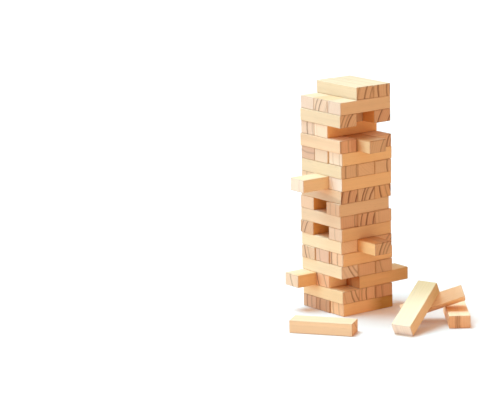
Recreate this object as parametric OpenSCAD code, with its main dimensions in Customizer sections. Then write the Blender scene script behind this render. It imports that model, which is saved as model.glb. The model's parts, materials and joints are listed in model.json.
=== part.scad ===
// Giant tumbling tower: a set of fifty-four solid timber blocks in the middle of a game.
//
// Fifty blocks stand in eighteen crossed layers of three. Players have pushed some blocks
// part of the way out, and have drawn four: those lie on the ground beside the tower, one
// flat on its own and three in a small leaning pile.
//
// Units are millimetres and +Z is up. The origin is on the ground, at the centre of the
// bottom layer. Odd layers run along X and show their ends on the -X side. Even layers run
// along Y and show their ends on the -Y side.

/* [Block] */
// Length of one block; everything else follows from it
block_length = 190.5; // [75:0.5:250]
// Width of the bevel planed along every edge
bevel = 1.2; // [0.4:0.1:2]
// Free space between two neighbours in a layer
side_gap = 0.5; // [0.2:0.1:1]
// Free space between two layers, because sanded faces never meet all over
layer_gap = 0.05; // [0.02:0.01:0.2]

/* [Tower] */
// Layers in the tower
layers = 18; // [18:1:20]
// How far a block pushed well out stands proud, as a share of its length
long_push = 0.35; // [0.2:0.01:0.4]
// How far a block knocked back into the tower is set in, as a share of its length
short_push = 0.27; // [0.1:0.01:0.4]

/* [Hidden] */
// Three blocks side by side are as wide as one is long, and five high would be too
pitch = block_length / 3;
rise = block_length / 5;
block_width = pitch - side_gap;
block_height = rise - layer_gap;
half_size = [block_length, block_width, block_height] / 2;

// Names of the three places in a layer, from the -Y side or from the -X side
ODD_PLACES = ["front", "middle", "back"];
EVEN_PLACES = ["left", "middle", "right"];

// Blocks drawn from the tower: [layer, place]
DRAWN = [[7, 1], [9, 1], [15, 0], [18, 0]];

// Blocks out of line: [layer, place, shift along the block, shift across it]. The shifts
// are shares of the block's length, towards +X and +Y. Players never set a block quite flush.
SHIFTED = [
    [1, 0, 0.02, 0],
    [2, 2, -0.02, 0],
    [3, 0, long_push - 0.01, 0],
    [3, 2, -long_push - 0.01, 0],
    [4, 0, 0.02, 0],
    [4, 2, -0.02, 0],
    [5, 0, 0.02, 0],
    [5, 2, -0.02, 0],
    [6, 0, 0.02, 0],
    [6, 1, -long_push - 0.05, 0],
    [6, 2, -0.01, 0],
    [7, 2, -0.01, 0.04],
    [8, 0, 0.03, 0],
    [8, 2, -0.01, 0],
    [9, 0, -0.03, 0.015],
    [9, 2, 0, 0.035],
    [10, 0, 0.015, 0],
    [11, 0, 0.01, 0],
    [11, 1, -0.485, 0],
    [12, 2, -0.015, 0],
    [13, 0, 0.02, 0],
    [14, 0, 0, -0.02],
    [14, 1, -short_push - 0.02, 0],
    [14, 2, -0.015, 0],
    [16, 0, 0, -0.015],
    [16, 1, short_push, 0],
    [18, 1, 0.015, 0]
];

// Blocks on the ground: [name, centre x, centre y, turn about Z, pitch, roll]. The centre
// is in block lengths and the angles are in degrees. A negative pitch lifts the +X end.
LOOSE = [
    ["loose_block_flat", -1.27, -0.98, -54, 0, 0],
    ["loose_block_low", 0.74, -1.774, 54, 0, 0],
    ["loose_block_tilted", 0.407, -1.591, -35, -17.3, -26],
    ["loose_block_leaning", -0.085, -1.764, 21, -30, 0]
];

// Timber tones, taken in turn
TONES = ["#EBC793", "#E3B881", "#F0D3A6", "#DDAE76", "#E8C08C"];

function is_odd(layer) = layer % 2 == 1;
function places(layer) = is_odd(layer) ? ODD_PLACES : EVEN_PLACES;
function layer_label(layer) = str(layer < 10 ? "0" : "", layer);
function is_drawn(layer, place) =
    len([for (d = DRAWN) if (d[0] == layer && d[1] == place) d]) > 0;

// Shift of a block from its place in the tower, [along, across] in millimetres
function shift(layer, place) =
    let (found = [for (s = SHIFTED) if (s[0] == layer && s[1] == place) s])
    len(found) > 0 ? [found[0][2], found[0][3]] * block_length : [0, 0];

function block_name(layer, place) =
    str("block_", layer_label(layer), "_", places(layer)[place]);

// Every block that still stands in the tower: [name, layer, place]
STACKED = [
    for (layer = [1:layers], place = [0:2])
        if (!is_drawn(layer, place)) [block_name(layer, place), layer, place]
];

// Height of a block's centre that sets its lowest bevelled corner on the ground. The
// third row of the turn matrix holds how far each half side reaches down.
function resting_height(pitch_angle, roll_angle) =
    let (
        reach = [
            abs(sin(pitch_angle)),
            abs(cos(pitch_angle) * sin(roll_angle)),
            abs(cos(pitch_angle) * cos(roll_angle))
        ],
        cuts = [reach[1] + reach[2], reach[0] + reach[2], reach[0] + reach[1],
                (reach[0] + reach[1] + reach[2]) / 2]
    )
    reach * half_size - min(cuts) * bevel;

// A rectangle with its four corners cut off by the bevel
module bevelled_outline(length, width) {
    x = length / 2;
    y = width / 2;
    polygon([
        [x - bevel, -y], [x, bevel - y], [x, y - bevel], [x - bevel, y],
        [bevel - x, y], [-x, y - bevel], [-x, bevel - y], [bevel - x, -y]
    ]);
}

// One block about its own centre, long side on X, bevelled along all twelve edges
module block() {
    intersection() {
        linear_extrude(block_height, center = true)
            bevelled_outline(block_length, block_width);
        rotate([90, 0, 0])
            linear_extrude(block_width, center = true)
                bevelled_outline(block_length, block_height);
        rotate([90, 0, 90])
            linear_extrude(block_length, center = true)
                bevelled_outline(block_width, block_height);
    }
}

// A block in its place in the tower, with what the players have done to it
module stacked_block(layer, place) {
    moved = shift(layer, place);
    across = (place - 1) * pitch + moved[1];
    height = (layer - 1) * rise + block_height / 2;
    position = is_odd(layer) ? [moved[0], across, height] : [across, moved[0], height];
    color(TONES[(layer * 2 + place * 3) % len(TONES)])
        translate(position)
            rotate([0, 0, is_odd(layer) ? 0 : 90])
                block();
}

// A block on the ground, at its own slant
module loose_block(item) {
    height = resting_height(item[4], item[5]);
    color(TONES[2])
        translate([item[1] * block_length, item[2] * block_length, height])
            rotate([item[5], item[4], item[3]])
                block();
}

for (s = STACKED)
    stacked_block(s[1], s[2]);
for (l = LOOSE)
    loose_block(l);
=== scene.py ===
"""Giant tumbling tower: the looks of fifty-four timber blocks.

Each block is cut from a virtual log. Its mesh carries where every point of it lay in that
log, so the growth rings run through the solid: arcs and lines on the ends, straight or
arched grain along the sides. The blocks' places and sizes come from the frame.
"""

import json
import logging
import math
import random
from dataclasses import dataclass, field
from enum import Enum
from typing import Mapping, Sequence, Union

import bpy
import numpy as np
from mathutils import Matrix, Vector, noise


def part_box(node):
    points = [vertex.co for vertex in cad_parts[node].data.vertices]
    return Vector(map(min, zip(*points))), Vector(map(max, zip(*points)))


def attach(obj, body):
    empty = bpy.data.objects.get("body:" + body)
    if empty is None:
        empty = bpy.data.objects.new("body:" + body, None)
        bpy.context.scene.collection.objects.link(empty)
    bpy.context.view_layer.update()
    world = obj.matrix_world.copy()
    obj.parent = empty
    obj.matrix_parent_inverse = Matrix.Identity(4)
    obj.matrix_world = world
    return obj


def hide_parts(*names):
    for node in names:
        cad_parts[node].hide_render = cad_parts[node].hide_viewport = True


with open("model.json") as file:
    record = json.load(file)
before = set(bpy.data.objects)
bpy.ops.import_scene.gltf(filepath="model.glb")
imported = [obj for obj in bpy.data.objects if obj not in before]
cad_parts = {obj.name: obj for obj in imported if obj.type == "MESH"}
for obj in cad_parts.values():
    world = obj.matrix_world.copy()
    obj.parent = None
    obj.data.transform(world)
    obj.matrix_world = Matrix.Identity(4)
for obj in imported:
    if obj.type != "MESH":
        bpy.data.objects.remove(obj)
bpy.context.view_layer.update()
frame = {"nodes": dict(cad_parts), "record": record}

MM = 0.001
Colour = tuple[float, float, float]
Span = tuple[float, float]
Number = Union[float, "Wire"]

logging.basicConfig(level=logging.INFO, format="%(message)s")
log = logging.getLogger("tower")


# ---------------- shader bench


class Wire:
    """A number that runs along a link, usable in a Python expression."""

    def __init__(self, bench: "ShaderBench", socket: bpy.types.NodeSocket) -> None:
        """Keeps the bench that adds nodes and the socket that the number comes from."""
        self.bench = bench
        self.socket = socket

    def __add__(self, other: Number) -> "Wire":
        """self + other."""
        return self.bench.maths("ADD", self, other)

    def __radd__(self, other: Number) -> "Wire":
        """other + self."""
        return self.bench.maths("ADD", other, self)

    def __sub__(self, other: Number) -> "Wire":
        """self - other."""
        return self.bench.maths("SUBTRACT", self, other)

    def __rsub__(self, other: Number) -> "Wire":
        """other - self."""
        return self.bench.maths("SUBTRACT", other, self)

    def __mul__(self, other: Number) -> "Wire":
        """self * other."""
        return self.bench.maths("MULTIPLY", self, other)

    def __rmul__(self, other: Number) -> "Wire":
        """other * self."""
        return self.bench.maths("MULTIPLY", other, self)

    def __truediv__(self, other: Number) -> "Wire":
        """self / other."""
        return self.bench.maths("DIVIDE", self, other)

    def __pow__(self, other: Number) -> "Wire":
        """self to the power of other."""
        return self.bench.maths("POWER", self, other)

    def __abs__(self) -> "Wire":
        """self without its sign."""
        return self.bench.maths("ABSOLUTE", self)


class VectorWire:
    """A vector that runs along a link, usable in a Python expression."""

    def __init__(self, bench: "ShaderBench", socket: bpy.types.NodeSocket) -> None:
        """Keeps the bench that adds nodes and the socket that the vector comes from."""
        self.bench = bench
        self.socket = socket

    def __mul__(self, other: Union["VectorWire", Sequence[float]]) -> "VectorWire":
        """self * other, part by part."""
        return self.bench.vector_maths("MULTIPLY", self, other)

    def parts(self) -> tuple[Wire, Wire, Wire]:
        """The three numbers of the vector."""
        node = self.bench.node("ShaderNodeSeparateXYZ", sockets={"Vector": self})
        return tuple(Wire(self.bench, node.outputs[i]) for i in range(3))


class ShaderBench:
    """Builds the node tree of one material or of the world."""

    def __init__(self, name: str) -> None:
        """Starts an empty material of that name."""
        self.material = bpy.data.materials.new(name)
        self._clear(self.material)

    @classmethod
    def for_world(cls, world: bpy.types.World) -> "ShaderBench":
        """Starts on a world's empty tree.

        Args:
            world: the world.

        Returns:
            The bench.
        """
        bench = cls.__new__(cls)
        bench._clear(world)
        return bench

    def _clear(self, owner: Union[bpy.types.Material, bpy.types.World]) -> None:
        """Empties a node tree and takes it up.

        Args:
            owner: the material or world that has the tree.
        """
        owner.use_nodes = True
        self.tree = owner.node_tree
        self.tree.nodes.clear()

    def node(
        self,
        kind: str,
        settings: Mapping[str, object] | None = None,
        sockets: Mapping[Union[str, int], object] | None = None,
    ) -> bpy.types.Node:
        """Adds a node.

        Args:
            kind: the node's Blender type.
            settings: its properties, which are set before its sockets.
            sockets: values, wires or node sockets for its inputs, by name or number.

        Returns:
            The new node.
        """
        node = self.tree.nodes.new(kind)
        for key, value in (settings or {}).items():
            setattr(node, key, value)
        for key, value in (sockets or {}).items():
            self._feed(node.inputs[key], value)
        return node

    def _feed(self, socket: bpy.types.NodeSocket, value: object) -> None:
        """Links or sets one input.

        Args:
            socket: the input.
            value: a wire or a node's output to link, or a plain value to set.
        """
        if isinstance(value, (Wire, VectorWire)):
            self.tree.links.new(value.socket, socket)
        elif isinstance(value, bpy.types.NodeSocket):
            self.tree.links.new(value, socket)
        elif isinstance(value, tuple) and socket.type == "RGBA":
            socket.default_value = (*value, 1.0)
        else:
            socket.default_value = value

    def maths(self, operation: str, *values: Number) -> Wire:
        """Adds a Math node and returns its result."""
        node = self.node("ShaderNodeMath", {"operation": operation}, dict(enumerate(values)))
        return Wire(self, node.outputs[0])

    def vector_maths(self, operation: str, *values: object) -> VectorWire:
        """Adds a Vector Math node and returns its vector."""
        node = self.node("ShaderNodeVectorMath", {"operation": operation}, dict(enumerate(values)))
        return VectorWire(self, node.outputs[0])

    def join(self, x: Number, y: Number, z: Number) -> VectorWire:
        """A vector from three numbers."""
        node = self.node("ShaderNodeCombineXYZ", sockets={0: x, 1: y, 2: z})
        return VectorWire(self, node.outputs[0])

    def attribute(self, name: str) -> VectorWire:
        """A vector that the mesh carries."""
        settings = {"attribute_type": "GEOMETRY", "attribute_name": name}
        return VectorWire(self, self.node("ShaderNodeAttribute", settings).outputs["Vector"])

    def step(self, value: Number, low: float, high: float) -> Wire:
        """A soft step. With low above high it runs the other way.

        Args:
            value: what is compared.
            low: where the step is 0.
            high: where the step is 1.

        Returns:
            The step, from 0 to 1.
        """
        flip = low > high
        sockets = {"Value": value, "From Min": min(low, high), "From Max": max(low, high)}
        sockets |= {"To Min": 1.0 if flip else 0.0, "To Max": 0.0 if flip else 1.0}
        node = self.node("ShaderNodeMapRange", {"interpolation_type": "SMOOTHSTEP"}, sockets)
        return Wire(self, node.outputs[0])

    def noise(self, where: VectorWire, detail: float, roughness: float,
              lumps: float = 1.0) -> Wire:
        """Cloudy noise from 0 to 1 at a place.

        Args:
            where: the place.
            detail: how many finer layers are added.
            roughness: how strong the finer layers are.
            lumps: how many lumps there are to a unit.

        Returns:
            The noise.
        """
        sockets = {"Vector": where, "Scale": lumps, "Detail": detail, "Roughness": roughness}
        node = self.node("ShaderNodeTexNoise", {"noise_dimensions": "3D"}, sockets)
        return Wire(self, node.outputs[0])

    def chance(self, value: Number) -> Wire:
        """A number from 0 to 1 that is the same wherever value is the same."""
        node = self.node("ShaderNodeTexWhiteNoise", {"noise_dimensions": "1D"}, {"W": value})
        return Wire(self, node.outputs["Value"])

    def mix(self, share: Number, low: object, high: object, blend: str = "MIX") -> object:
        """Mixes two colours.

        Args:
            share: how much of high there is, held between 0 and 1.
            low: the colour at 0.
            high: the colour at 1.
            blend: how they mix.

        Returns:
            The result's socket.
        """
        settings = {"data_type": "RGBA", "blend_type": blend, "clamp_factor": True}
        node = self.node("ShaderNodeMix", settings, {0: share, 6: low, 7: high})
        return node.outputs[2]

    def finish(self, shader: bpy.types.NodeSocket) -> bpy.types.Material:
        """Wires a shader to the output and returns the material."""
        self.node("ShaderNodeOutputMaterial", sockets={"Surface": shader})
        return self.material


# ---------------- timber finishes


class Pine(Enum):
    """The three timber tones of the set, named as the record's material slots are."""

    PALE = "pine_pale"
    HONEY = "pine_honey"
    ROSY = "pine_rosy"


class Marks(Enum):
    """How many of each mark there are to a metre: along the log, then twice across it."""

    FIBRE = (9.0, 620.0, 620.0)
    STREAK = (2.0, 80.0, 80.0)
    BLOTCH = (7.0, 16.0, 16.0)
    PORES = (300.0, 1500.0, 1500.0)
    CANALS = (26.0, 900.0, 900.0)
    RING_WANDER = (3.2, 24.0, 24.0)
    RING_RIPPLE = (14.0, 150.0, 150.0)
    SAW = (1.0, 1500.0, 60.0)  # along, across and up the block, not the log


@dataclass
class Wood:
    """What a material knows of the wood at a place, each mask and mark from 0 to 1."""

    spot: VectorWire  # the place in the block's own axes
    on_end: Wire
    on_side: Wire
    edge: Wire
    fine: Wire  # the lines of the ordinary rings
    dark: Wire  # the few dark rings
    fibre: Wire
    streak: Wire
    blotch: Wire
    pores: Wire


@dataclass(frozen=True)
class PineFinish:
    """Bare sanded pine with its growth rings, in one tone, with painted highlight and painted shade
    on chosen parts.

    Each Span holds where something begins and where it is full.
    """

    tone: Pine
    early: Colour  # wood that grows in spring, the pale part of a ring
    late: Colour  # wood that grows in summer, the dark line of a ring
    end_stain: Colour  # what the open pores of an end multiply the colour by
    heart: Colour  # the same for the log's heartwood,
    blushing: Colour = (1.0, 0.90, 0.93)  # the pinkest wood,
    painted_highlight: Colour = (1.08, 1.40, 1.95)  # a painted highlight that whitens a near end,
    painted_shade_and_tone: Colour = (0.66, 0.36, 0.16)  # painted shade on a near end or a top, with a darker tone on some near ends,
    painted_orange_shade: Colour = (1.10, 0.80, 0.42)  # the deep orange of painted shade on a side
    far_shade_and_tone: Colour = (0.54, 0.47, 0.25)  # and a darker far part, painted shade on some blocks and a browner tone on others
    grime: Colour = (0.36, 0.18, 0.08)  # dirt on the worn edges
    canal: Colour = (0.34, 0.17, 0.07)  # the short dashes of cut resin canals

    # How strong the rings are, and how far they wander
    fine_on_side: float = 0.07
    fine_on_end: float = 0.26
    faintest_fine: float = 0.3
    dark_on_side: float = 0.20
    dark_on_end: float = 0.84
    deepest_line: float = 0.92
    ring_wander: float = 2.2 * MM

    # A dark ring's soft inner band, the line in it and its outer end, measured outwards
    band: Span = (-9.0 * MM, 0.0)
    band_share: float = 0.40
    line: Span = (-4.8 * MM, -2.0 * MM)
    line_share: float = 0.60
    ring_end: Span = (2.0 * MM, 0.6 * MM)

    # The heartwood's edge, inwards
    heart_edge: Span = (1.5 * MM, -2.5 * MM)
    heart_wander: float = 4.0 * MM
    heart_share: float = 0.8

    # Where painted highlight, painted shade and darker tone reach, as shares of a block's length,
    # height or width from its middle
    near_end: Span = (0.1, -0.1)
    far_part: Span = (-0.1, 0.48)
    top: Span = (0.38, 0.48)
    shaded_side: Span = (-0.15, 0.48)

    # How far from an end and from an edge their masks reach, and the dirt on an edge
    end_rim: Span = (1.6 * MM, 0.5 * MM)
    edge_rim: Span = (1.6 * MM, -0.4 * MM)
    edge_ragged: float = 2.2 * MM
    grime_on_side: float = 0.14
    grime_on_end: float = 0.40

    # How much each mark changes the brightness
    fibre_shade: float = 0.13
    streak_shade: float = 0.15
    blotch_shade: float = 0.12
    pore_shade: float = 0.20
    darkest_tint: float = 0.88  # brightness at tint 0
    tint_range: float = 0.24  # how much brighter it is at tint 1
    canal_rise: Span = (0.70, 0.77)
    canal_share: float = 0.30

    # The surface itself
    plain_roughness: float = 0.64
    gloss: float = 0.18
    relief: float = 0.5 * MM
    dent_rise: Span = (0.70, 0.80)
    dent_share: float = 0.5

    def material(self, sides: Sequence[float]) -> bpy.types.Material:
        """Builds the material.

        Args:
            sides: a block's length, width and height, in metres.

        Returns:
            The finished material.
        """
        bench = ShaderBench(self.tone.value)
        spot, grain = bench.attribute("spot"), bench.attribute("grain")
        tint, blush, seed = bench.attribute("cut").parts()
        fine_gap, boldness, heartwood = bench.attribute("growth").parts()
        on_end, edge = self._surface_masks(bench, spot, sides)
        radius = self._radius(bench, grain)
        fine, ring_number = self._fine_rings(bench, radius, fine_gap, seed)
        wood = Wood(
            spot, on_end, 1.0 - on_end, edge, fine, self._dark_rings(bench, radius),
            fibre=bench.noise(grain * Marks.FIBRE.value, 3.0, 0.6),
            streak=bench.noise(grain * Marks.STREAK.value, 2.0, 0.5),
            blotch=bench.noise(grain * Marks.BLOTCH.value, 2.0, 0.5),
            pores=bench.noise(grain * Marks.PORES.value, 2.0, 0.6))

        # The seed is spread out so that no two blocks share the chances of their rings
        chance = bench.chance(ring_number + seed * 91.0) + self.faintest_fine
        colour = self._ringed(bench, wood, fine * chance * boldness, blush)
        inside = radius - heartwood + (wood.blotch - 0.5) * self.heart_wander
        core = bench.step(inside, *self.heart_edge) * self.heart_share
        colour = bench.mix(core, colour, self._times(bench, colour, self.heart))
        colour = bench.mix(on_end, colour, self._times(bench, colour, self.end_stain))
        colour = self._painted_light_and_dirt(bench, wood, colour, sides)
        colour = self._times(bench, colour, self._brightness(bench, wood, tint))
        canals = bench.noise(grain * Marks.CANALS.value, 1.0, 0.4)
        dashes = bench.step(canals, *self.canal_rise) * wood.on_side * self.canal_share
        colour = bench.mix(dashes, colour, self.canal)

        # Sawn ends are rougher, and resin and handling smooth the wood
        roughness = self.plain_roughness + on_end * 0.14 - wood.dark * 0.08
        roughness = roughness + (wood.fibre - 0.5) * 0.16 - edge * 0.08
        bump = bench.node("ShaderNodeBump", sockets={
            "Strength": 0.5, "Distance": self.relief, "Height": self._height(bench, wood)})
        shader = bench.node("ShaderNodeBsdfPrincipled", sockets={
            "Base Color": colour, "Roughness": roughness, "Specular IOR Level": self.gloss,
            "Normal": bump.outputs[0]})
        return bench.finish(shader.outputs[0])

    @staticmethod
    def _times(bench: ShaderBench, colour: object, by: object) -> object:
        """A colour multiplied by another."""
        return bench.mix(1.0, colour, by, "MULTIPLY")

    @staticmethod
    def _by_face(on_end: Wire, side: float, end: float) -> Wire:
        """A number that is one thing on the sides and another on the ends."""
        return on_end * (end - side) + side

    @staticmethod
    def _reach(bench: ShaderBench, place: Wire, side: float, shares: Span) -> Wire:
        """A soft step along one side of a block, between two shares of the side."""
        return bench.step(place, shares[0] * side, shares[1] * side)

    def _surface_masks(
        self, bench: ShaderBench, spot: VectorWire, sides: Sequence[float]
    ) -> tuple[Wire, Wire]:
        """Where the surface is an end, and where it is near an edge.

        Args:
            bench: the material's bench.
            spot: the place in the block's own axes.
            sides: the block's length, width and height.

        Returns:
            The end mask and the edge mask, both from 0 to 1.
        """
        inset = [side / 2 - abs(part) for side, part in zip(sides, spot.parts())]
        on_end = bench.step(inset[0], *self.end_rim)
        # A point on a face has one inset near 0, so the middle one of the three is its
        # distance from the nearest edge
        low = bench.maths("MINIMUM", inset[0], inset[1])
        high = bench.maths("MAXIMUM", inset[0], inset[1])
        nearest = bench.maths("MAXIMUM", low, bench.maths("MINIMUM", high, inset[2]))
        ragged = bench.noise(spot, 2.0, 0.6, lumps=220.0)
        return on_end, bench.step(nearest - ragged * self.edge_ragged, *self.edge_rim)

    def _radius(self, bench: ShaderBench, grain: VectorWire) -> Wire:
        """How far a place lay from the log's heart, with the rings' own wander.

        Args:
            bench: the material's bench.
            grain: the place in the log, whose heart runs along X.

        Returns:
            The distance, in metres.
        """
        _, across, through = grain.parts()
        wander = bench.noise(grain * Marks.RING_WANDER.value, 2.0, 0.45) - 0.5
        ripple = bench.noise(grain * Marks.RING_RIPPLE.value, 1.0, 0.5) - 0.5
        radius = (across * across + through * through) ** 0.5
        return radius + wander * (self.ring_wander * 2.4) + ripple * (self.ring_wander * 0.35)

    @staticmethod
    def _fine_rings(bench: ShaderBench, radius: Wire, gap: Wire, seed: Wire) -> tuple[Wire, Wire]:
        """The thin summer lines of the ordinary rings.

        Args:
            bench: the material's bench.
            radius: the distance from the log's heart.
            gap: how far apart the rings are, in metres.
            seed: a number that differs from block to block.

        Returns:
            The lines from 0 to 1, and the number of each ring.
        """
        # Good and bad years move the rings by up to about one gap
        years = bench.noise(bench.join(radius * 34.0, seed * 7.0, 0.5), 1.0, 0.5)
        turns = radius / gap + years * 1.1
        number = bench.maths("FLOOR", turns)
        share = turns - number
        # The line deepens slowly to its outer side, and ends there at once
        return bench.step(share, 0.45, 0.88) * bench.step(share, 1.0, 0.93), number

    def _dark_rings(self, bench: ShaderBench, radius: Wire) -> Wire:
        """The few dark rings of slow years, each with a soft inner side and a sharp outer one.

        Args:
            bench: the material's bench.
            radius: the distance from the log's heart.

        Returns:
            The rings, 1 where a full one is darkest.
        """
        total: Number = 0.0
        places = bench.attribute("ring_places").parts()
        mights = bench.attribute("ring_mights").parts()
        for place, might in zip(places, mights):
            past = radius - place
            band = bench.step(past, *self.band) * self.band_share
            line = bench.step(past, *self.line) * self.line_share
            total = (band + line) * bench.step(past, *self.ring_end) * might + total
        return total

    def _ringed(self, bench: ShaderBench, wood: Wood, lines: Wire, blush: Wire) -> object:
        """The colour of fresh wood with its rings.

        The ends drink in more colour than the sides do, so every ring shows more there.

        Args:
            bench: the material's bench.
            wood: the wood at the place.
            lines: the fine rings, each as bold as it is in this block.
            blush: how pink the block is.

        Returns:
            The colour's socket.
        """
        thin = self._by_face(wood.on_end, self.fine_on_side, self.fine_on_end)
        thick = self._by_face(wood.on_end, self.dark_on_side, self.dark_on_end)
        line = bench.maths("MINIMUM", lines * thin + wood.dark * thick, self.deepest_line)
        pale = bench.mix(blush, self.early, self._times(bench, self.early, self.blushing))
        return bench.mix(line, pale, self.late)

    def _painted_light_and_dirt(
        self, bench: ShaderBench, wood: Wood, colour: object, sides: Sequence[float]
    ) -> object:
        """The colour with painted highlight, painted shade, darker tone and dirt.

        Args:
            bench: the material's bench.
            wood: the wood at the place.
            colour: the fresh colour.
            sides: the block's length, width and height.

        Returns:
            The colour's socket.
        """
        end_light_and_shade, side_shade, far_and_top_shade = bench.attribute("painted_light_and_tone").parts()
        length, width, height = sides
        along, across, up = wood.spot.parts()
        near_end = wood.on_end * self._reach(bench, along, length, self.near_end)
        far_part = self._reach(bench, along, length, self.far_part)
        top = self._reach(bench, up, height, self.top)
        # Above 0 the painted orange shade fills the left side, and below 0 the right one
        sideways = across * bench.maths("SIGN", side_shade)
        full_side = abs(side_shade) * self._reach(bench, sideways, width, self.shaded_side)
        # Painted highlight and painted shade on near ends, painted orange shade on a side, a darker
        # far part that is partly painted shade, and painted shade on tops
        for amount, by in (
            (end_light_and_shade * near_end, self.painted_highlight),
            (end_light_and_shade * -1.0 * near_end, self.painted_shade_and_tone),
            (full_side * wood.on_side, self.painted_orange_shade),
            (far_and_top_shade * far_part * (wood.streak + 0.4), self.far_shade_and_tone),
            (far_and_top_shade * -1.0 * top, self.painted_shade_and_tone),
        ):
            colour = bench.mix(amount, colour, self._times(bench, colour, by))
        reach = self._by_face(wood.on_end, self.grime_on_side, self.grime_on_end)
        return bench.mix(wood.edge * reach * (wood.blotch + 0.35), colour, self.grime)

    def _brightness(self, bench: ShaderBench, wood: Wood, tint: Wire) -> VectorWire:
        """How bright the wood is, as a grey colour near 1.

        Args:
            bench: the material's bench.
            wood: the wood at the place.
            tint: how pale the block is.

        Returns:
            The grey.
        """
        shade = 1.0 + (wood.fibre - 0.5) * wood.on_side * self.fibre_shade
        shade = shade + (wood.streak - 0.5) * wood.on_side * self.streak_shade
        shade = shade + (wood.blotch - 0.5) * self.blotch_shade
        shade = shade + (wood.pores - 0.5) * wood.on_end * self.pore_shade
        shade = shade * (tint * self.tint_range + self.darkest_tint)
        return bench.join(shade, shade, shade)

    def _height(self, bench: ShaderBench, wood: Wood) -> Wire:
        """The height of the surface for its bump: proud rings, fibres, saw marks and dents.

        Args:
            bench: the material's bench.
            wood: the wood at the place.

        Returns:
            The height, about 1 where the wood stands highest.
        """
        saw = bench.noise(wood.spot * Marks.SAW.value, 1.0, 0.5)
        dents = bench.noise(wood.spot, 1.0, 0.4, lumps=75.0)
        dent = bench.step(dents, *self.dent_rise) * self.dent_share
        rings = wood.fine * 0.5 + wood.dark
        side = rings * 0.16 + wood.fibre * 0.26
        end = rings * 0.30 + wood.pores * 0.22 + saw * 0.22
        return side * wood.on_side + end * wood.on_end + wood.blotch * 0.20 - dent


FINISHES: dict[Pine, PineFinish] = {
    Pine.PALE: PineFinish(
        Pine.PALE, early=(0.83, 0.570, 0.295), late=(0.31, 0.140, 0.060),
        end_stain=(0.95, 0.87, 0.87), heart=(0.88, 0.76, 0.72)),
    Pine.HONEY: PineFinish(
        Pine.HONEY, early=(0.82, 0.520, 0.235), late=(0.30, 0.130, 0.050),
        end_stain=(0.94, 0.86, 0.88), heart=(0.87, 0.76, 0.72)),
    Pine.ROSY: PineFinish(
        Pine.ROSY, early=(0.81, 0.505, 0.255), late=(0.29, 0.125, 0.055),
        end_stain=(0.94, 0.86, 0.86), heart=(0.86, 0.75, 0.72)),
}


# ---------------- blocks


class Cut(Enum):
    """How a block lay in its log: the slant of the rings on its near end, in degrees.

    At 0 the rings run straight up from wide face to wide face, above 0 their tops lean to
    the left, and at 90 they lie along the wide faces.
    """

    UPRIGHT = 2.0
    LEANING_LEFT = 20.0
    FALLING_LEFT = 33.0
    LEANING_RIGHT = -16.0
    FALLING_RIGHT = -26.0
    STEEP_ARC = 52.0
    FLAT_ARC = 86.0


@dataclass(frozen=True)
class Timber:
    """What one block's wood is like, with the painted light and shade that it gets."""

    cut: Cut = Cut.UPRIGHT
    dark_rings: tuple[tuple[float, float], ...] = ()  # mm right of the end's middle, might
    tint: float = 0.5  # 0 is dark, 1 is pale
    blush: float = 0.3  # 1 is pinkest
    boldness: float = 0.5  # of the fine rings
    fine_gap: float = 8.0 * MM
    heart_distance: float = 110.0 * MM  # above 0 the log's heart lay to the right
    heartwood: float | None = None  # mm right of the end's middle, where heartwood begins
    end_light_and_shade: float = 0.0  # how much painted highlight the near end gets; below 0, how much painted shade and darker tone
    side_shade: float = 0.0  # how much painted orange shade the left side gets; below 0, the right side
    far_and_top_shade: float = 0.0  # how dark the far part is, partly painted shade; below 0, how much painted shade the top gets


NO_RING = (999.0, 0.0)  # a dark ring far outside any block, with no might
NO_HEARTWOOD = -1.0  # a radius in metres that no place in a log has

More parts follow.
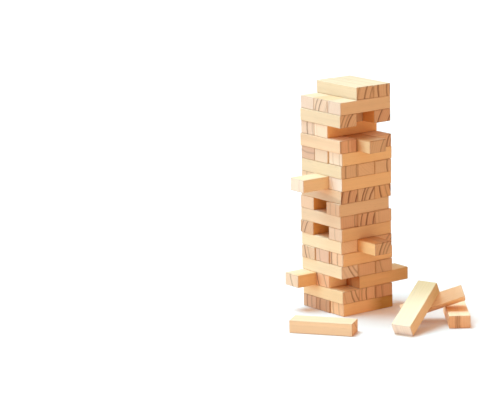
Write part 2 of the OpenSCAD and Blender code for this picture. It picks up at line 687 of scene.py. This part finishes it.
# The blocks whose ends show a grain of their own, layer by layer from the top
TIMBERS: dict[str, Timber] = {
    "block_18_middle": Timber(
        Cut.LEANING_RIGHT, ((-27, 0.6), (0, 1.0), (23, 0.6)), tint=0.40, blush=0.3),
    "block_18_right": Timber(Cut.UPRIGHT, ((-17, 1.1), (15, 0.9), (28, 0.5)), tint=0.40, blush=0.3),
    "block_17_back": Timber(
        Cut.LEANING_RIGHT, (), tint=0.60, blush=0.6, boldness=0.2, end_light_and_shade=0.38),
    "block_17_middle": Timber(
        Cut.FALLING_RIGHT, ((-22, 0.7), (-5, 0.9), (28, 0.3)), tint=0.60, blush=0.5,
        end_light_and_shade=0.48),
    "block_17_front": Timber(
        Cut.LEANING_RIGHT, ((-26, 0.3),), tint=0.55, blush=0.6, boldness=0.2, end_light_and_shade=0.34),
    "block_16_left": Timber(
        Cut.FALLING_RIGHT, ((-24, 0.6), (-9, 0.6), (2, 1.0)), tint=0.45, blush=0.4, boldness=0.5),
    "block_16_middle": Timber(Cut.UPRIGHT, ((4, 0.3),), tint=0.55, blush=0.2, boldness=0.3),
    "block_16_right": Timber(
        Cut.FALLING_RIGHT, ((-12, 1.0), (29, 0.9)), tint=0.25, blush=0.4, boldness=0.4, side_shade=0.9),
    "block_15_back": Timber(
        Cut.UPRIGHT, ((-3, 1.0), (22, 0.4)), tint=0.55, blush=0.6, boldness=0.3, end_light_and_shade=0.24),
    "block_15_middle": Timber(
        Cut.UPRIGHT, ((-20, 0.15),), tint=1.30, blush=0.3, boldness=0.2, end_light_and_shade=0.22,
        side_shade=-0.6),
    "block_14_left": Timber(
        Cut.UPRIGHT, ((-2, 0.45), (-30, 0.5)), tint=0.75, blush=0.4, boldness=0.3, heartwood=8),
    # Its protruding top gets painted shade, where the layers above keep light off it
    "block_14_middle": Timber(
        Cut.LEANING_RIGHT, ((13, 0.5), (26, 0.3)), tint=0.25, blush=0.3, boldness=0.6, side_shade=0.45,
        far_and_top_shade=-0.7),
    "block_14_right": Timber(
        Cut.LEANING_RIGHT, ((16, 1.0), (27, 0.5)), tint=0.45, blush=0.7, boldness=0.4),
    "block_13_back": Timber(
        Cut.FLAT_ARC, ((17, 0.4),), tint=0.20, blush=0.6, boldness=0.3, end_light_and_shade=0.17),
    "block_13_middle": Timber(Cut.UPRIGHT, (), tint=0.65, blush=0.3, boldness=0.2, end_light_and_shade=0.22),
    "block_13_front": Timber(
        Cut.UPRIGHT, ((-13, 0.3), (17, 0.35)), tint=1.05, blush=0.2, boldness=0.2, end_light_and_shade=0.65),
    "block_12_left": Timber(
        Cut.UPRIGHT, ((-17, 0.7), (24, 0.6)), tint=0.45, blush=0.2, boldness=0.4),
    "block_12_middle": Timber(Cut.STEEP_ARC, (), tint=0.70, blush=0.2, boldness=0.4),
    "block_12_right": Timber(Cut.UPRIGHT, ((13, 0.9),), tint=0.65, blush=0.2, boldness=0.3),
    "block_11_back": Timber(Cut.UPRIGHT, ((-8, 0.4),), tint=0.55, blush=0.3, boldness=0.2),
    "block_11_middle": Timber(
        Cut.UPRIGHT, ((8, 0.2),), tint=0.95, blush=0.2, boldness=0.2, end_light_and_shade=0.45,
        far_and_top_shade=-0.1),
    # Its end gets a full painted highlight where the protruding middle block shades it
    "block_11_front": Timber(
        Cut.LEANING_LEFT, ((-16, 0.2),), tint=0.90, blush=0.4, boldness=0.2, end_light_and_shade=1.0),
    "block_10_left": Timber(
        Cut.LEANING_RIGHT, ((-29, 1.2), (-3, 1.4), (27, 1.2)), tint=0.40, blush=0.4, boldness=0.6),
    "block_10_middle": Timber(
        Cut.FALLING_RIGHT, ((-14, 1.3), (-3, 0.9), (17, 1.2)), tint=0.45, blush=0.4, boldness=0.6),
    "block_10_right": Timber(
        Cut.LEANING_LEFT, ((-13, 1.4), (10, 0.5), (29, 1.0)), tint=0.55, blush=0.3, boldness=0.4),
    "block_09_back": Timber(
        Cut.UPRIGHT, (), tint=0.60, blush=0.7, boldness=0.2, end_light_and_shade=0.33, side_shade=-0.9),
    "block_09_front": Timber(
        Cut.UPRIGHT, ((-14, 0.3), (12, 0.3)), tint=0.45, blush=0.7, boldness=0.2, end_light_and_shade=-0.25),
    "block_08_left": Timber(Cut.UPRIGHT, ((20, 0.5),), tint=0.35, blush=0.9, boldness=0.4),
    "block_08_middle": Timber(
        Cut.LEANING_RIGHT, ((-22, 0.9), (-1, 1.3), (26, 1.2)), tint=0.50, blush=0.3),
    "block_08_right": Timber(Cut.UPRIGHT, ((-20, 0.2),), tint=0.50, blush=0.5, boldness=0.2),
    "block_07_back": Timber(
        Cut.FALLING_RIGHT, ((-6, 0.9), (-25, 0.6)), tint=0.45, blush=0.8, boldness=0.5,
        end_light_and_shade=-0.2, side_shade=-1.0),
    "block_07_front": Timber(
        Cut.UPRIGHT, ((-4, 0.3),), tint=0.60, blush=0.6, boldness=0.2, end_light_and_shade=0.48),
    "block_06_left": Timber(Cut.STEEP_ARC, (), tint=0.95, blush=0.2, boldness=0.2, end_light_and_shade=0.1),
    # Its protruding top gets painted shade, where the tower above keeps light off it
    "block_06_middle": Timber(
        Cut.FALLING_RIGHT, ((-11, 1.0), (5, 0.6), (17, 0.6)), tint=0.35, blush=0.4, side_shade=0.7,
        far_and_top_shade=-0.75),
    "block_06_right": Timber(Cut.FALLING_RIGHT, ((8, 0.6), (24, 0.6)), tint=0.45, blush=0.2),
    "block_05_back": Timber(Cut.LEANING_LEFT, ((-15, 0.9), (0, 0.5)), tint=0.45, blush=0.6),
    "block_05_middle": Timber(
        Cut.UPRIGHT, ((-14, 0.4),), tint=0.55, blush=0.6, boldness=0.2, end_light_and_shade=0.2),
    "block_05_front": Timber(
        Cut.UPRIGHT, ((-26, 1.1), (2, 0.7), (27, 0.3)), tint=1.10, blush=0.5, boldness=0.2,
        end_light_and_shade=0.2),
    "block_04_left": Timber(
        Cut.FALLING_LEFT, ((2, 0.75), (20, 0.6), (-22, 0.2)), tint=0.88, blush=0.2, boldness=0.3,
        end_light_and_shade=0.5),
    "block_04_middle": Timber(Cut.UPRIGHT, (), tint=0.75, blush=0.7, boldness=0.2),
    "block_04_right": Timber(Cut.LEANING_LEFT, ((-14, 0.4),), tint=0.30, blush=0.5, boldness=0.2),
    "block_03_back": Timber(
        Cut.LEANING_LEFT, ((-3, 0.7),), tint=0.70, blush=0.3, boldness=0.2, end_light_and_shade=0.20,
        side_shade=-0.45, far_and_top_shade=-0.1),
    # A tint above 1 paints light on its side, which lies in shade under layer 4; painted shade
    # takes some of it back off its end
    "block_03_middle": Timber(
        Cut.LEANING_LEFT, ((-25, 0.9), (10, 0.6)), tint=1.70, blush=0.5, boldness=0.4,
        end_light_and_shade=-0.45),
    "block_03_front": Timber(
        Cut.UPRIGHT, ((-10, 0.4),), tint=0.60, blush=0.3, boldness=0.3, end_light_and_shade=-1.0,
        side_shade=-0.15, far_and_top_shade=0.5),
    "block_02_left": Timber(
        Cut.LEANING_LEFT, ((3, 0.75), (20, 0.75), (-24, 0.2)), tint=0.85, blush=0.2, boldness=0.3,
        end_light_and_shade=0.35),
    "block_02_middle": Timber(
        Cut.UPRIGHT, ((-23, 0.5), (-6, 0.9), (29, 0.9)), tint=0.95, blush=0.4, boldness=0.7),
    "block_02_right": Timber(Cut.UPRIGHT, ((-11, 0.5),), tint=0.25, blush=0.3, boldness=0.5),
    "block_01_back": Timber(
        Cut.UPRIGHT, ((-14, 0.9), (8, 0.5)), tint=0.25, blush=0.9, boldness=0.25, end_light_and_shade=-0.2),
    "block_01_middle": Timber(
        Cut.UPRIGHT, ((-16, 0.7), (14, 0.4)), tint=0.15, blush=0.7, boldness=0.2, end_light_and_shade=-0.5),
    # Its far part gets painted shade where the loose blocks keep light off it
    "block_01_front": Timber(
        Cut.UPRIGHT, ((-20, 0.5), (6, 0.4)), tint=1.40, blush=0.2, boldness=0.3, end_light_and_shade=-0.18,
        far_and_top_shade=1.8),
    "loose_block_flat": Timber(
        Cut.STEEP_ARC, ((10, 0.4),), tint=0.95, blush=0.5, boldness=0.3, far_and_top_shade=-0.12),
    "loose_block_leaning": Timber(
        Cut.UPRIGHT, ((-18, 0.15),), tint=0.95, blush=0.1, boldness=0.3, end_light_and_shade=1.0,
        far_and_top_shade=0.55),
    "loose_block_tilted": Timber(Cut.UPRIGHT, ((8, 0.2),), tint=1.40, blush=0.5, boldness=0.3),
    # A tint above 1 paints light on its top, which lies in shade under the tilted block
    "loose_block_low": Timber(
        Cut.UPRIGHT, ((-3, 0.6), (-9, 0.7), (-14, 0.4)), tint=1.50, blush=0.4, boldness=0.3),
}


@dataclass
class Lie:
    """Where a block lies: its centre, its own axes as columns, and its three sides."""

    centre: np.ndarray
    axes: np.ndarray
    sides: np.ndarray

    @classmethod
    def of_node(cls, name: str) -> "Lie":
        """Reads a block's lie from the flat faces of its CAD node.

        Args:
            name: the node.

        Returns:
            Its lie, with the long axis first and the thinnest side last.
        """
        mesh = frame["nodes"][name].data
        normals = np.array([face.normal for face in mesh.polygons])
        areas = np.array([face.area for face in mesh.polygons])

        def broadest(free_of: Sequence[np.ndarray]) -> np.ndarray:
            """Finds the normal that the most surface shares.

            Args:
                free_of: the directions that it has to be square to.

            Returns:
                The normal.
            """
            square = np.ones(len(normals), bool)
            for axis in free_of:
                square &= np.abs(normals @ axis) < 0.1
            shared = (np.abs(normals @ normals.T) > 0.999) @ areas
            return normals[np.argmax(np.where(square, shared, 0.0))]

        through = broadest([])
        across = broadest([through])
        through = through * (1.0 if through[2] >= 0 else -1.0)
        along = np.cross(across, through)
        along = along * (1.0 if along.sum() >= 0 else -1.0)
        axes = np.column_stack([along, np.cross(through, along), through])
        points = np.array([vertex.co for vertex in mesh.vertices]) @ axes
        low, high = points.min(0), points.max(0)
        return cls(axes @ (low + high) / 2, axes, high - low)

    def turned(self, vectors: np.ndarray) -> np.ndarray:
        """Directions in the block's own axes, as directions in the frame."""
        return vectors @ self.axes.T


@dataclass
class TimberBlock:
    """One block: a rounded, slightly worn solid of timber."""

    name: str
    lie: Lie
    timber: Timber
    seed: int
    easing: float = 2.1 * MM  # how round its edges are
    arc_steps: int = 4  # grid lines to half a rounded edge
    grid: float = 8.0 * MM  # how far apart the lines are between the edges
    wear: float = 0.7 * MM  # how deep handling wears an edge
    lumps: float = 48.0  # how many worn lumps there are to a metre of edge
    chips: float = 15.0  # and how many chipped places

    def build(self, material: bpy.types.Material, slot: str) -> bpy.types.Object:
        """Makes the piece, dresses it and sets it on its body.

        Args:
            material: its finish.
            slot: the record's material slot.

        Returns:
            The piece.
        """
        draw = random.Random(self.seed)
        points, normals, quads = self._shell()
        worn = points - normals * self._wear_depths(points, normals)[:, None]
        mesh = bpy.data.meshes.new(self.name)
        mesh.from_pydata((self.lie.turned(worn) + self.lie.centre).tolist(), [], quads)
        mesh.polygons.foreach_set("use_smooth", [True] * len(quads))
        self._set_vectors(mesh, "spot", points)
        self._carry_grain(mesh, points, draw)
        mesh.normals_split_custom_set_from_vertices(self.lie.turned(normals).tolist())
        mesh.materials.append(material)
        piece = bpy.data.objects.new(f"{self.name}_timber", mesh)
        bpy.context.scene.collection.objects.link(piece)
        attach(piece, self.name)
        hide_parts(self.name)
        log.info("%s: %d faces, %s", piece.name, len(quads), slot)
        return piece

    def _stops(self, side: float) -> np.ndarray:
        """The grid lines along one side, closer together where its ends are rounded.

        Args:
            side: how long the side is.

        Returns:
            Their places, from the side's middle.
        """
        flat = side / 2 - self.easing
        inner = np.linspace(-flat, flat, max(2, round(2 * flat / self.grid)) + 1)
        angles = np.linspace(0, math.pi / 4, self.arc_steps + 1)[1:]
        outer = flat + self.easing * np.tan(angles)
        return np.concatenate([-outer[::-1], inner, outer])

    def _shell(self) -> tuple[np.ndarray, np.ndarray, list[tuple[int, ...]]]:
        """The rounded block's skin about its own centre.

        Returns:
            The points, their outward normals, and the faces as point numbers.
        """
        stops = [self._stops(side) for side in self.lie.sides]
        counts = [len(line) for line in stops]
        numbers = -np.ones(counts, int)
        corners = np.stack(np.meshgrid(*map(np.arange, counts), indexing="ij"), -1)
        last = np.array(counts) - 1
        outside = ((corners == 0) | (corners == last)).any(-1)
        numbers[outside] = np.arange(outside.sum())
        places = corners[outside]
        box = np.stack([stops[axis][places[:, axis]] for axis in range(3)], -1)
        flat = self.lie.sides / 2 - self.easing
        core = np.clip(box, -flat, flat)
        normals = box - core
        normals /= np.linalg.norm(normals, axis=1)[:, None]
        return core + normals * self.easing, normals, self._quads(numbers)

    @staticmethod
    def _quads(numbers: np.ndarray) -> list[tuple[int, ...]]:
        """The faces of the six sides, each turned to look outwards.

        Args:
            numbers: the number of the point at each place of the grid, -1 where there is none.

        Returns:
            The faces as point numbers.
        """
        quads = []
        for axis in range(3):
            for end in (0, -1):
                side = np.take(numbers, end, axis)
                ring = [side[:-1, :-1], side[1:, :-1], side[1:, 1:], side[:-1, 1:]]
                if (end == 0) == (axis != 1):
                    ring.reverse()
                quads += [tuple(row) for row in np.stack(ring, -1).reshape(-1, 4).tolist()]
        return quads

    def _wear_depths(self, points: np.ndarray, normals: np.ndarray) -> np.ndarray:
        """How deep handling has worn each point: only edges and corners, and unevenly.

        Args:
            points: the points in the block's own axes.
            normals: their outward normals.

        Returns:
            The depths.
        """
        roundness = (1.0 - np.abs(normals).max(1)) / (1.0 - 3 ** -0.5)
        shift = Vector((self.seed * 3.7, 1.3, 0.0))
        lumps = [noise.noise(Vector(point) * self.lumps + shift) for point in points]
        chips = [noise.noise(Vector(point) * self.chips - shift) for point in points]
        uneven = np.clip(np.array(lumps) * 0.9 + 0.35, 0, 1)
        chipped = np.clip(np.array(chips) * 2.4 - 0.55, 0, 1)
        return self.wear * roundness * (0.45 * uneven + chipped)

    def _carry_grain(self, mesh: bpy.types.Mesh, points: np.ndarray, draw: random.Random) -> None:
        """Stores on the mesh where its wood lay in the log, what its rings are like, and its tint
        and painted light and shade.

        Args:
            mesh: the block's mesh.
            points: its points in the block's own axes.
            draw: the block's own chances.
        """
        timber = self.timber
        # No saw cuts two blocks quite alike, and no log is quite straight
        slant = math.radians(timber.cut.value + draw.uniform(-3, 3))
        drift = math.tan(math.radians(draw.uniform(-1.4, 1.4)))
        start = draw.uniform(0, 40)

        def in_log(block_points: np.ndarray) -> np.ndarray:
            """Where points lay in the log, whose heart runs along X.

            Args:
                block_points: the points in the block's own axes.

            Returns:
                Their places in the log.
            """
            across, up = block_points[:, 1], block_points[:, 2]
            beside = across * math.cos(slant) - up * math.sin(slant) + timber.heart_distance
            above = across * math.sin(slant) + up * math.cos(slant)
            beside = beside + (block_points[:, 0] + self.lie.sides[0] / 2) * drift
            return np.column_stack([block_points[:, 0] + start, beside, above])

        def radius_at(right: float) -> float:
            """How far from the heart a place on the near end lay, mm right of its middle."""
            place = np.array([[-self.lie.sides[0] / 2, -right * MM, 0.0]])
            return float(np.hypot(*in_log(place)[0, 1:]))

        rings = (timber.dark_rings + (NO_RING,) * 3)[:3]
        core = NO_HEARTWOOD if timber.heartwood is None else radius_at(timber.heartwood)
        self._set_vectors(mesh, "grain", in_log(points))
        for name, values in {
            "cut": (timber.tint, timber.blush, self.seed / 60.0),
            "growth": (timber.fine_gap, timber.boldness, core),
            "painted_light_and_tone": (timber.end_light_and_shade, timber.side_shade, timber.far_and_top_shade),
            "ring_places": [radius_at(right) for right, _ in rings],
            "ring_mights": [might for _, might in rings],
        }.items():
            self._set_vectors(mesh, name, np.tile(values, (len(points), 1)))

    @staticmethod
    def _set_vectors(mesh: bpy.types.Mesh, name: str, values: np.ndarray) -> None:
        """Stores one vector for each point of a mesh."""
        layer = mesh.attributes.new(name, "FLOAT_VECTOR", "POINT")
        layer.data.foreach_set("vector", np.asarray(values, np.float32).ravel())


@dataclass
class Tower:
    """All fifty-four blocks, standing and loose."""

    bodies: Mapping[str, Sequence[str]]
    slots: Mapping[str, str]
    first_seed: int = 1
    pieces: list[bpy.types.Object] = field(default_factory=list)

    @classmethod
    def from_record(cls, record: Mapping) -> "Tower":
        """Reads the blocks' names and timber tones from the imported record."""
        slots = {part["node"]: part["material_slot"] for part in record["subparts"]}
        return cls(record["behaviour"]["bodies"], slots)

    def build(self) -> None:
        """Makes every block, in the order of the blocks' names."""
        names = sorted(self.bodies)
        sides = Lie.of_node(names[0]).sides
        materials = {tone.value: FINISHES[tone].material(sides.tolist()) for tone in Pine}
        for seed, name in enumerate(names, self.first_seed):
            slot = self.slots[name]
            timber = TIMBERS.get(name) or self._any_timber(seed)
            block = TimberBlock(name, Lie.of_node(name), timber, seed)
            self.pieces.append(block.build(materials[slot], slot))
        log.info("%d blocks built", len(self.pieces))

    @staticmethod
    def _any_timber(seed: int) -> Timber:
        """Draws the timber of a block that has none of its own in TIMBERS.

        Args:
            seed: the block's number.

        Returns:
            The timber.
        """
        draw = random.Random(seed * 17 + 3)
        cut = draw.choice((Cut.UPRIGHT, Cut.LEANING_LEFT, Cut.LEANING_RIGHT,
                           Cut.FALLING_RIGHT, Cut.STEEP_ARC, Cut.FLAT_ARC))
        rings = tuple((draw.uniform(-28, 28), draw.uniform(0.2, 0.9)) for _ in range(3))
        return Timber(cut, rings, draw.uniform(0.3, 0.7), draw.random(), draw.uniform(0.2, 0.7),
                      draw.uniform(6, 10) * MM, draw.choice((-1, 1)) * draw.uniform(70, 130) * MM)


# ---------------- stage


@dataclass(frozen=True)
class Lamp:
    """A wide, far lamp, so that the whole floor is lit alike."""

    name: str
    strength: float
    colour: Colour
    spread: float  # how wide it looks from the tower, in degrees
    offset: tuple[float, float, float]  # where it hangs from the tower's middle

    def hang(self, middle: Vector) -> None:
        """Hangs the lamp so that it looks at the tower.

        Args:
            middle: the tower's middle.
        """
        lamp = bpy.data.lights.new(self.name, "SUN")
        lamp.energy = self.strength
        lamp.color = self.colour
        lamp.angle = math.radians(self.spread)
        holder = bpy.data.objects.new(self.name, lamp)
        bpy.context.scene.collection.objects.link(holder)
        holder.location = middle + Vector(self.offset)
        holder.rotation_euler = (-Vector(self.offset)).to_track_quat("-Z", "Y").to_euler()


@dataclass(frozen=True)
class Studio:
    """The pale floor, the white surroundings and the lamps."""

    floor_radius: float = 16.0  # metres
    floor_colour: Colour = (0.86, 0.74, 0.58)  # what the floor's own shadows are cast on
    floor_bounce: Colour = (0.84, 0.52, 0.32)  # the warm light that it sends back up
    floor_glow: float = 0.05  # how much plain white it adds where it is seen
    sky_colour: Colour = (1.0, 0.73, 0.61)
    sky_low: float = 0.36  # strength at the horizon
    sky_high: float = 1.00  # strength overhead
    lamps: tuple[Lamp, ...] = (
        Lamp("side", strength=3.85, colour=(0.28, 0.62, 1.0), spread=30.0,
             offset=(-5.0, 1.8, 0.4)),
        Lamp("overhead", strength=5.4, colour=(0.28, 0.64, 1.0), spread=36.0,
             offset=(-0.8, 1.6, 5.0)),
    )

    def build(self, middle: Vector) -> None:
        """Sets the stage round the tower.

        Args:
            middle: the tower's middle.
        """
        self._floor()
        self._sky()
        for lamp in self.lamps:
            lamp.hang(middle)

    @staticmethod
    def _seen(bench: ShaderBench) -> Wire:
        """1 on rays that show a thing itself, and 0 on rays that only carry its light.

        Args:
            bench: the bench of the floor or the sky.

        Returns:
            The mask.
        """
        ray = bench.node("ShaderNodeLightPath")
        seen = Wire(bench, ray.outputs["Is Camera Ray"])
        for name in ("Is Glossy Ray", "Is Transmission Ray"):
            seen = bench.maths("MAXIMUM", seen, Wire(bench, ray.outputs[name]))
        return seen

    def _floor(self) -> None:
        """Lays a round floor that looks white wherever no shadow falls."""
        bpy.ops.mesh.primitive_circle_add(
            vertices=96, radius=self.floor_radius, fill_type="NGON", location=(0, 0, 0))
        floor = bpy.context.object
        floor.name = "studio_floor"
        bench = ShaderBench("studio_floor")
        seen = self._seen(bench)
        paint = bench.mix(seen, self.floor_bounce, self.floor_colour)
        plain = bench.node("ShaderNodeBsdfDiffuse", sockets={"Color": paint})
        glow = bench.node("ShaderNodeEmission", sockets={"Strength": 1.0})
        both = bench.node("ShaderNodeMixShader", sockets={
            0: seen * self.floor_glow, 1: plain.outputs[0], 2: glow.outputs[0]})
        floor.data.materials.append(bench.finish(both.outputs[0]))

    def _sky(self) -> None:
        """Surrounds the stage with soft warm light that looks plain white when seen."""
        world = bpy.data.worlds.new("studio_sky")
        bpy.context.scene.world = world
        bench = ShaderBench.for_world(world)
        place = bench.node("ShaderNodeTexCoord")
        height = VectorWire(bench, place.outputs["Generated"]).parts()[2]
        strength = bench.step(height, 0.0, 1.0) * (self.sky_high - self.sky_low) + self.sky_low
        light = bench.node("ShaderNodeBackground", sockets={
            "Color": self.sky_colour, "Strength": strength})
        white = bench.node("ShaderNodeBackground", sockets={"Color": (1.0, 1.0, 1.0)})
        both = bench.node("ShaderNodeMixShader", sockets={
            0: self._seen(bench), 1: light.outputs[0], 2: white.outputs[0]})
        bench.node("ShaderNodeOutputWorld", sockets={"Surface": both.outputs[0]})


@dataclass(frozen=True)
class CameraStand:
    """A long lens that looks slightly down at the tower's front left edge."""

    azimuth: float = -38.9  # degrees
    elevation: float = 12.2
    roll: float = -1.1
    lengths_away: float = 39.0  # how many block lengths the camera is from the tower
    lens: float = 178.0  # focal length in mm
    aim_left: float = 0.290  # how far left of the tower's middle it aims, in metres
    aim_down: float = 0.017

    def build(self, middle: Vector, block_length: float) -> None:
        """Places the camera.

        Args:
            middle: the tower's middle.
            block_length: the length of a block, in metres.
        """
        turn, rise = math.radians(self.azimuth), math.radians(self.elevation)
        back = Vector((math.sin(turn) * math.cos(rise), -math.cos(turn) * math.cos(rise),
                       math.sin(rise)))
        place = middle + back * (self.lengths_away * block_length)
        right = Vector((0, 0, 1)).cross(back).normalized()
        up = back.cross(right)
        aim = middle - right * self.aim_left - up * self.aim_down
        look = (place - aim).normalized()
        right = Vector((0, 0, 1)).cross(look).normalized()
        level = Matrix((right, look.cross(right), look)).transposed()
        camera = bpy.data.objects.new("camera", bpy.data.cameras.new("camera"))
        camera.data.lens = self.lens
        camera.data.clip_end = 100.0
        bpy.context.scene.collection.objects.link(camera)
        turned = level @ Matrix.Rotation(math.radians(self.roll), 3, "Z")
        camera.matrix_world = Matrix.Translation(place) @ turned.to_4x4()
        bpy.context.scene.camera = camera


def main() -> None:
    """Builds the tower, the studio and the camera."""
    bpy.context.scene.view_settings.view_transform = "Standard"
    low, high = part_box("block_01_middle")
    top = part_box("block_18_middle")[1].z
    middle = Vector(((low.x + high.x) / 2, (low.y + high.y) / 2, top / 2))
    CameraStand().build(middle, high.x - low.x)
    Studio().build(middle)
    Tower.from_record(frame["record"]).build()


if __name__ == "__main__":
    main()
